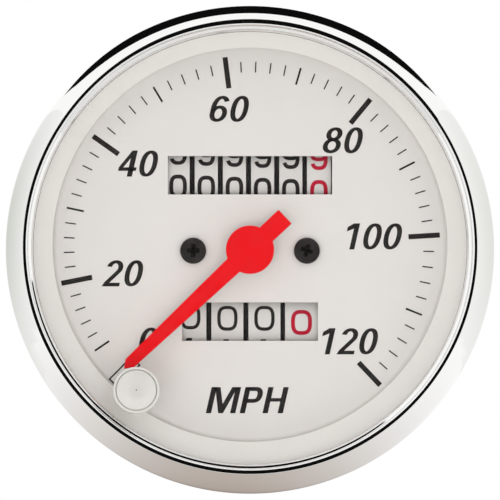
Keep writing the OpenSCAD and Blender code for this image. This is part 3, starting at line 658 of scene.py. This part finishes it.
def scale_angle(speed):
    """Degrees clockwise from the top, between the scale's angles at every tenth mark."""
    steps = (speed - SCALE_START) / SCALE_STEP
    before = min(int(steps), len(SCALE_ANGLES) - 2)
    start, end = SCALE_ANGLES[before], SCALE_ANGLES[before + 1]
    return start + (end - start) * (steps - before)


def spoke(angle, inner, outer, width, sideways=0.0):
    """Rectangle along a radius of the scale's circle."""
    a = math.radians(angle)
    along = (math.sin(a), math.cos(a))
    across = (along[1], -along[0])
    corners = []
    for r, w in ((inner, -1), (outer, -1), (outer, 1), (inner, 1)):
        s = sideways + w * width / 2
        corners.append((SCALE_X + r * along[0] + s * across[0], SCALE_Z + r * along[1] + s * across[1]))
    return corners, [(0, 1, 2, 3)]


def tick(speed):
    if speed % MAJOR_EVERY == 0:
        return MAJOR
    return MEDIUM if speed % MEDIUM_EVERY == 0 else MINOR


def print_dial():
    glyphs = dial_glyphs()
    figures = join([word(text, glyphs, x, z, FIGURE_H, FIGURE_GAP, FIGURE_SLANT)
                    for text, (x, z) in FIGURES.items()])
    unit = word(UNIT, glyphs, *UNIT_PLACE, FIGURE_H, LETTER_GAP, FIGURE_SLANT)
    marks = [spoke(scale_angle(v), *tick(v)) for v in range(SCALE_START, SCALE_END + 1, TICK_EVERY)]
    inner, outer, width = ZERO_BOX
    edge = (width - ZERO_LINE) / 2
    box = [spoke(ZERO_ANGLE, inner, outer, ZERO_LINE, side * edge) for side in (-1, 1)]
    box += [spoke(ZERO_ANGLE, r, r + ZERO_LINE, width) for r in (inner, outer - ZERO_LINE)]
    for name, (verts, faces) in (("dial_figures", figures), ("dial_unit", unit),
                                 ("dial_ticks", join(marks)), ("dial_zero_box", join(box))):
        piece(name, on_dial(verts), faces, "dial_paint", material="dial_ink")


print_dial()

# Counter digits, wrapped round each drum: a digit's width, height and pen, and each zero's angle in degrees

DIGIT_LIFT = 0.015
DIGIT_STEP = 36
ODOMETER_DIGIT = (3.1, 4.22, 0.7)
ODOMETER_ZERO = -17.2
ODOMETER_STAGGER = 1.16
TRIP_DIGIT = (3.58, 4.46, 0.6)
TRIP_RED_DIGIT = (3.7, 4.46, 0.7)
TRIP_ZEROS = [-0.3, 4.2, 4.2, 5.7]
# Painted shade: dark lines along the edges of all drums but the first, for the shade in the gaps between
# drums
DRUM_SHADE_W = 0.08
DRUM_SHADE_STEPS = 72


def drum_gap_shade(x, z):
    """Painted shade: a dark line round a drum, from x towards the right, darkening the gap next to it."""
    reach = DRUM_R + DIGIT_LIFT
    verts, faces = [], []
    for i in range(DRUM_SHADE_STEPS):
        a = 2 * math.pi * i / DRUM_SHADE_STEPS
        verts += [(x + w, DRUM_Y - reach * math.cos(a), z + reach * math.sin(a)) for w in (0, DRUM_SHADE_W)]
        j = (i + 1) % DRUM_SHADE_STEPS
        faces.append((2 * i, 2 * i + 1, 2 * j + 1, 2 * j))
    return verts, faces


def drum_digits(counter, count, digit_of, zero_of):
    """Ten digits round each drum of a counter; all drums but the first get painted shade along both edges."""
    for n in range(1, count + 1):
        width, height, pen_w = digit_of(n)
        glyphs = drum_glyphs(width / height, pen_w / height)
        node = f"{counter}_drum_{n}"
        x = (low(node).x + high(node).x) / 2
        z = (low(node).z + high(node).z) / 2
        reach = DRUM_R + DIGIT_LIFT
        parts = []
        for d in range(10):
            glyph = glyphs[str(d)]
            verts = []
            for u, v in glyph.verts:
                a = math.radians(zero_of(n) - DIGIT_STEP * d) + (v - 0.5) * height / DRUM_R
                verts.append((x + (u - glyph.width / 2) * height,
                              DRUM_Y - reach * math.cos(a), z + reach * math.sin(a)))
            parts.append((verts, glyph.faces))
        # Dark lines of painted shade along both edges, for the shade in the gaps beside the drum
        if n > 1:
            parts += [drum_gap_shade(high(node).x - DRUM_SHADE_W, z), drum_gap_shade(low(node).x, z)]
        verts, faces = join(parts)
        piece(f"{counter}_digits_{n}", verts, faces, "drum_plastic", f"{counter}_{n}",
              "drum_crimson" if n == 1 else "drum_ink_and_gap_shade")


drum_digits("odometer", 6, lambda n: ODOMETER_DIGIT, lambda n: ODOMETER_ZERO + (n - 1) * ODOMETER_STAGGER)
drum_digits("trip", 4, lambda n: TRIP_RED_DIGIT if n == 1 else TRIP_DIGIT, lambda n: TRIP_ZEROS[n - 1])

# Dial screws: flat heads with a rounded edge and a cross recess, whose deeper faces are near-black as painted
# shade

SCREW_R = 2.275
SCREW_HEAD_T = 1.1
SCREW_EDGE = (0.35, 0.4)
SCREW_EDGE_STEPS = 8
SCREW_FACE_RINGS = 30
SCREW_SEGMENTS = 96
SHANK_R = 1.3
ARM_REACH = 1.06
ARM_HALF_W = 0.33
ARM_DEPTH = 1.3
ARM_EDGE = 0.08
ARM_RISE = 0.45
# Depth below a screw head's face past which the recess gets its painted shade
RECESS_SHADE_DEPTH = 0.2
AXIS_R = 0.005
SCREW_TURNS = {"left": 0, "right": 15}


def clamp(value):
    return max(0.0, min(1.0, value))


def recess(r, a):
    """Depth of a cross recess whose arms rise towards their ends."""
    u, v = abs(r * math.cos(a)), abs(r * math.sin(a))
    along, across = max(u, v), min(u, v)
    inside = clamp((ARM_HALF_W - across) / ARM_EDGE + 0.5) * clamp((ARM_REACH - along) / ARM_EDGE + 0.5)
    return ARM_DEPTH * inside * (1 - ARM_RISE * along / ARM_REACH)


def make_screw(mark, x, turn):
    top_y = DIAL_Y - SCREW_HEAD_T
    edge_w, edge_h = SCREW_EDGE
    face_r = SCREW_R - edge_w - AXIS_R
    rings = [AXIS_R + face_r * i / SCREW_FACE_RINGS for i in range(SCREW_FACE_RINGS)]
    profile = [(r, top_y) for r in rings]
    edge = ellipse(SCREW_R - edge_w, edge_h, edge_w, edge_h, -89, 0, SCREW_EDGE_STEPS)
    profile += [(r, top_y + h) for r, h in edge]
    end_y = high("dial_screws").y
    profile += [(SCREW_R, DIAL_Y), (SHANK_R, DIAL_Y), (SHANK_R, end_y), (AXIS_R, end_y)]

    def sink(r, y, a):
        return r, y + recess(r, a + math.radians(turn)) if y == top_y else y, 0.0

    head = piece(f"dial_screw_{mark}", *lathe(profile, SCREW_SEGMENTS, x, 0, sink), slot="black_steel",
                 smooth_deg=35)
    # Faces deep in the cross recess turn near-black: painted shade in the recess
    head.data.materials.append(MATERIALS["recess_painted_shade"])
    for face in head.data.polygons:
        u, y, v = face.center / MM
        if math.hypot(u - x, v) < ARM_REACH and top_y + RECESS_SHADE_DEPTH < y < DIAL_Y + ARM_DEPTH:
            face.material_index = 1
    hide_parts("dial_screws")


SCREW_X = high("dial_screws").x - SCREW_R
make_screw("left", -SCREW_X, SCREW_TURNS["left"])
make_screw("right", SCREW_X, SCREW_TURNS["right"])

# Reset knob: a raised face in a finely fluted skirt, with the dot where its moulding gate was cut

KNOB_FACE_R = 3.45
KNOB_STEP = 0.3
KNOB_GROOVE = 0.5
KNOB_DOT_R = 0.11
KNOB_CLEAR = 0.3
STEM_R = 1.6
FLUTES = 48
FLUTE_SEGMENTS = 6
FLUTE_DEPTH = 0.07
SKIRT_ROUND = (0.3, 0.5)
SKIRT_STEPS = 6

# Points of the face's rounded edge, out from the face's radius and back from its front

FACE_EDGE = [(-0.12, 0.0), (-0.03, 0.06), (0.0, 0.16)]

# The groove round the face: both sides of its floor and its outer rim, out from the face's radius

GROOVE_FLOOR = (0.03, 0.13)
GROOVE_RIM = 0.18


def make_knob():
    near, far = low("reset_knob"), high("reset_knob")
    knob_r = (far.x - near.x) / 2
    x, z = near.x + knob_r, near.z + knob_r
    front_y = near.y
    back_y = low("lens").y - KNOB_CLEAR
    skirt_y = front_y + KNOB_STEP
    profile = [(AXIS_R, front_y), (KNOB_DOT_R, front_y)]
    profile += [(KNOB_FACE_R + out, front_y + back) for out, back in FACE_EDGE]
    profile += [(KNOB_FACE_R + out, skirt_y + KNOB_GROOVE) for out in GROOVE_FLOOR]
    profile += [(KNOB_FACE_R + GROOVE_RIM, skirt_y)]
    round_w, round_h = SKIRT_ROUND
    skirt = ellipse(knob_r - round_w, round_h, round_w, round_h, -90, 0, SKIRT_STEPS)
    profile += [(r, skirt_y + h) for r, h in skirt]
    profile += [(knob_r, back_y), (STEM_R, back_y), (STEM_R, far.y), (AXIS_R, far.y)]

    def flute(r, y, a):
        return r - FLUTE_DEPTH * (0.5 + 0.5 * math.cos(FLUTES * a)) if r == knob_r else r, y, 0.0

    knob = piece("reset_knob_moulding", *lathe(profile, FLUTE_SEGMENTS * FLUTES, x, z, flute),
                 slot="knob_acrylic", body="reset", smooth_deg=40)
    knob.data.materials.append(MATERIALS["dial_ink"])
    for face in knob.data.polygons:
        u, y, v = face.center / MM
        if math.hypot(u - x, v - z) < KNOB_DOT_R and y < skirt_y:
            face.material_index = 1
    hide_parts("reset_knob")


make_knob()

# Rear threads

THREAD_STEPS = 8
THREAD_DEPTH = 0.55
THREAD_STEEP = 1.4
THREAD_FLAT = 0.2
STUD_PITCH = 0.8
STUD_SEGMENTS = 40
CABLE_PITCH = 1.41
CABLE_SEGMENTS = 96
CABLE_R = 7.94
CABLE_NECK_R = 6.42
FERRULE_R = 5.2
FERRULE_DEPTH = 9
SHAFT_BORE_R = 3.35
HEX_T = 3
HEX_CHAMFER = 0.93
HEX_BEVEL = 0.4
HEX_SIDE = math.radians(60)


def thread_levels(start, end, pitch):
    rows = int((end - start) / pitch * THREAD_STEPS)
    return [start + (end - start) * i / rows for i in range(rows + 1)]


def thread_radius(major, pitch, end, y, a):
    """Radius of a screw thread that fades into a bevel over its last turn."""
    phase = (y / pitch - a / (2 * math.pi)) % 1
    flank = abs(2 * phase - 1)
    bevel = max(0.0, 1 - (end - y) / pitch)
    return major - THREAD_DEPTH * pitch * max(min(THREAD_STEEP * flank - THREAD_FLAT, 1), 0, bevel)


def make_stud(mark, side):
    profile = [(AXIS_R, CASE_BACK_Y)]
    profile += [(STUD_R, y) for y in thread_levels(CASE_BACK_Y, STUD_END_Y, STUD_PITCH)]
    profile += [(AXIS_R, STUD_END_Y)]

    def cut(r, y, a):
        return thread_radius(STUD_R, STUD_PITCH, STUD_END_Y, y, a) if r == STUD_R else r, y, 0.0

    stud = piece(f"stud_thread_{mark}", *lathe(profile, STUD_SEGMENTS, 0, side * STUD_Z, cut),
                 slot="zinc_steel", smooth_deg=50)
    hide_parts("mounting_studs")


def make_cable_fitting():
    flange_y = CASE_BACK_Y + HEX_T
    profile = [(FERRULE_R, CABLE_END_Y - FERRULE_DEPTH), (SHAFT_BORE_R, CABLE_END_Y - FERRULE_DEPTH),
               (SHAFT_BORE_R, CABLE_NECK_Y), (CABLE_NECK_R, CABLE_NECK_Y), (CABLE_NECK_R, CASE_BACK_Y),
               (HEX_R * HEX_CHAMFER, CASE_BACK_Y), (HEX_R, CASE_BACK_Y + HEX_BEVEL),
               (HEX_R, flange_y - HEX_BEVEL), (HEX_R * HEX_CHAMFER, flange_y)]
    profile += [(CABLE_R, y) for y in thread_levels(flange_y, CABLE_END_Y, CABLE_PITCH)]
    profile += [(FERRULE_R, CABLE_END_Y)]

    def cut(r, y, a):
        if r == CABLE_R:
            return thread_radius(CABLE_R, CABLE_PITCH, CABLE_END_Y, y, a), y, 0.0
        if r > CABLE_R:
            off_middle = a % HEX_SIDE - HEX_SIDE / 2
            return min(r, HEX_R * math.cos(HEX_SIDE / 2) / math.cos(off_middle)), y, 0.0
        return r, y, 0.0

    fitting = piece("cable_fitting_thread", *lathe(profile, CABLE_SEGMENTS, bend=cut),
                    slot="fitting_nickel", smooth_deg=40)
    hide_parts("cable_fitting")


make_stud("upper", 1)
make_stud("lower", -1)
make_cable_fitting()

# Stage: floor, reflection cards, lights and camera

PHOTO_PX = 500
PX_PER_MM = 5.694
CAMERA_DISTANCE = 2.0
CAMERA_DROP_DEG = 3.8
SENSOR_MM = 36
FLOOR_Z = -0.6
FLOOR_REACH = 4
FLOOR_COLOUR = (0.9, 0.9, 0.895)
BACKGROUND = 1.0
SKY = 0.86
KEY_PLACE = (-0.28, -1.2, -0.3)
KEY_WATTS = 2.7
FILL_PLACE = (0.32, -1.2, -0.22)
FILL_WATTS = 2.0
LIGHT_SIZE = 0.5


def light_path(tree):
    """1 for camera, glossy and transmission rays, 0 for diffuse ones."""
    path = tree.nodes.new("ShaderNodeLightPath")
    seen = path.outputs["Is Camera Ray"]
    for ray in ("Is Glossy Ray", "Is Transmission Ray"):
        either = tree.nodes.new("ShaderNodeMath")
        either.operation = "MAXIMUM"
        tree.links.new(seen, either.inputs[0])
        tree.links.new(path.outputs[ray], either.inputs[1])
        seen = either.outputs["Value"]
    return seen


def make_world():
    world = bpy.data.worlds.new("studio")
    bpy.context.scene.world = world
    world.use_nodes = True
    tree = world.node_tree
    background = tree.nodes["Background"]
    background.inputs["Color"].default_value = (1, 1, 1, 1)
    strength = tree.nodes.new("ShaderNodeMapRange")
    strength.inputs["To Min"].default_value = SKY
    strength.inputs["To Max"].default_value = BACKGROUND
    tree.links.new(light_path(tree), strength.inputs["Value"])
    tree.links.new(strength.outputs["Result"], background.inputs["Strength"])


def make_floor():
    material = bpy.data.materials.new("floor")
    material.use_nodes = True
    bsdf = material.node_tree.nodes["Principled BSDF"]
    bsdf.inputs["Base Color"].default_value = (*FLOOR_COLOUR, 1)
    bsdf.inputs["Roughness"].default_value = 0.9
    mesh = bpy.data.meshes.new("floor")
    square = rectangle(-FLOOR_REACH, -FLOOR_REACH, FLOOR_REACH, FLOOR_REACH)
    mesh.from_pydata([(x, y, FLOOR_Z) for x, y in square], [], [(0, 1, 2, 3)])
    mesh.materials.append(material)
    obj = bpy.data.objects.new("floor", mesh)
    bpy.context.scene.collection.objects.link(obj)


def toward(azimuth, swing, reach):
    """Point seen from the origin, by azimuth clockwise from the top and swing off the camera's side."""
    a, b = math.radians(azimuth), math.radians(swing)
    return (reach * math.sin(b) * math.sin(a), -reach * math.cos(b), reach * math.sin(b) * math.cos(a))


def card(name, azimuths, swings_of, colour_of, reach):
    """A curved studio flag that only shows in reflections, with its colour blended from point to point."""
    points, colours, faces = [], [], []
    for azimuth in azimuths:
        swings = swings_of(azimuth)
        points += [toward(azimuth, swing, reach) for swing in swings]
        colours += [colour_of(azimuth, k) for k in range(len(swings))]
    n = len(swings)
    for start in range(0, len(points) - n, n):
        faces += [(start + k, start + k + 1, start + n + k + 1, start + n + k) for k in range(n - 1)]
    mesh = bpy.data.meshes.new(name)
    mesh.from_pydata(points, [], faces)
    layer = mesh.color_attributes.new("shade", "FLOAT_COLOR", "POINT")
    for item, colour in zip(layer.data, colours):
        item.color = (*colour, 1)
    material = bpy.data.materials.new(name)
    material.use_nodes = True
    tree = material.node_tree
    attribute = tree.nodes.new("ShaderNodeAttribute")
    attribute.attribute_name = "shade"
    emission = tree.nodes.new("ShaderNodeEmission")
    tree.links.new(attribute.outputs["Color"], emission.inputs["Color"])
    tree.links.new(emission.outputs["Emission"], tree.nodes["Material Output"].inputs["Surface"])
    mesh.materials.append(material)
    obj = bpy.data.objects.new(name, mesh)
    bpy.context.scene.collection.objects.link(obj)
    obj.visible_camera = False
    obj.visible_diffuse = False
    obj.visible_shadow = False
    obj.visible_transmission = False


def studio_light(name, place, watts):
    """A round soft light that faces the origin and doesn't show in reflections."""
    data = bpy.data.lights.new(name, "AREA")
    data.shape = "DISK"
    data.size = LIGHT_SIZE
    data.energy = watts
    obj = bpy.data.objects.new(name, data)
    bpy.context.scene.collection.objects.link(obj)
    obj.location = place
    obj.rotation_euler = (-Vector(place)).to_track_quat("-Z", "Y").to_euler()
    obj.visible_glossy = False


# Cards that the chrome reflects. Azimuths and swings are in degrees, as in toward(); distances in metres

BLACK = (0.004, 0.004, 0.004)
FAR_CARD = CAMERA_DISTANCE + 0.4
NEAR_CARD = 0.14
EIGHTH = 45
LENS_FLAG_EIGHTHS = [44, 30, 20.5, 16.5, 20.5, 15.5, 16, 22]
LENS_FLAG_START = 0.1
LENS_FLAG_STEP = 5
TOP_FLAG_HALF = 46
TOP_FLAG_MIDDLE = 142
TOP_FLAG_SPREAD = 38
TOP_FLAG_END = 179
TOP_FLAG_STEPS = 20
SURROUND_AZIMUTHS = range(52, 309)

# The surround's grey patches: a colour and a seam's azimuth for each swing

SWINGS = [34, 60, 95, 135, 152, 175]
LOW_SHADES = [(0.5, 0.44, 0.4), (0.5, 0.44, 0.4), (0.49, 0.43, 0.39),
              (0.44, 0.38, 0.34), (0.34, 0.28, 0.25), (0.08, 0.06, 0.055)]
LEFT_SHADES = [(0.86, 0.86, 0.84), (0.84, 0.84, 0.82), (0.76, 0.77, 0.74),
               (0.66, 0.67, 0.63), (0.68, 0.69, 0.66), (0.8, 0.8, 0.78)]
RIGHT_SHADES = [(0.9, 0.9, 0.88), (0.9, 0.9, 0.88), (0.85, 0.85, 0.83),
                (0.79, 0.79, 0.77), (0.82, 0.82, 0.8), (0.9, 0.9, 0.88)]
NO_SEAM = [0, 0, 0, 0, 0, 0]
LEFT_SEAM = [253, 252, 249, 242, 239, 236]
RIGHT_SEAM = [110, 110, 112, 115, 116, 117]

# Each patch's azimuth, its spread to both sides, its colours and its seam

LOBES = [(186, 74, LOW_SHADES, NO_SEAM), (278, 52, LEFT_SHADES, LEFT_SEAM),
         (82, 60, RIGHT_SHADES, RIGHT_SEAM)]


def surround(at, k):
    """Colour of the studio's surround: white, with a grey patch for each lobe, soft but for its seam."""
    colour = [1.0, 1.0, 1.0]
    for azimuth, spread, shades, seam in LOBES:
        beyond = (at - seam[k]) * (azimuth - seam[k]) < 0
        away = 1 if beyond else abs(at - azimuth) / spread
        share = math.cos(math.pi / 2 * min(away, 1)) ** 2
        colour = [c + (s - 1) * share for c, s in zip(colour, shades[k])]
    return tuple(colour)


def lens_flag_edge(at):
    """Swing of the black flag's edge, between its swings at each eighth of the turn: widest at the top."""
    count = len(LENS_FLAG_EIGHTHS)
    eighth = int(at // EIGHTH)
    start = LENS_FLAG_EIGHTHS[eighth % count]
    end = LENS_FLAG_EIGHTHS[(eighth + 1) % count]
    return start + (end - start) * (1 - math.cos(math.pi * (at % EIGHTH) / EIGHTH)) / 2


def top_flag_edges(at):
    """Swings between which the black flag overhead reaches, narrowing to a point at both ends."""
    away = abs(at) / TOP_FLAG_HALF
    near = TOP_FLAG_MIDDLE - TOP_FLAG_SPREAD * math.sqrt(1 - away ** 4)
    far = TOP_FLAG_MIDDLE + TOP_FLAG_SPREAD * (1 - away ** 1.5)
    return [near, min(far, TOP_FLAG_END)]


def make_stage():
    make_floor()
    studio_light("key", KEY_PLACE, KEY_WATTS)
    studio_light("fill", FILL_PLACE, FILL_WATTS)
    card("lens_flag", range(0, 361, LENS_FLAG_STEP), lambda at: [LENS_FLAG_START, lens_flag_edge(at)],
         lambda at, k: BLACK, FAR_CARD)
    top_azimuths = [TOP_FLAG_HALF * i / TOP_FLAG_STEPS for i in range(-TOP_FLAG_STEPS, TOP_FLAG_STEPS + 1)]
    card("top_flag", top_azimuths, top_flag_edges, lambda at, k: BLACK, FAR_CARD)
    card("surround", SURROUND_AZIMUTHS, lambda at: SWINGS, surround, NEAR_CARD)


def make_camera():
    data = bpy.data.cameras.new("camera")
    data.sensor_width = SENSOR_MM
    data.lens = SENSOR_MM * CAMERA_DISTANCE / (PHOTO_PX / PX_PER_MM * MM)
    data.clip_end = 20
    obj = bpy.data.objects.new("camera", data)
    bpy.context.scene.collection.objects.link(obj)
    drop = math.radians(CAMERA_DROP_DEG)
    obj.location = (0, -CAMERA_DISTANCE * math.cos(drop), -CAMERA_DISTANCE * math.sin(drop))
    obj.rotation_euler = (math.pi / 2 + drop, 0, 0)
    bpy.context.scene.camera = obj


make_world()
make_stage()
make_camera()
bpy.context.scene.view_settings.view_transform = "Standard"
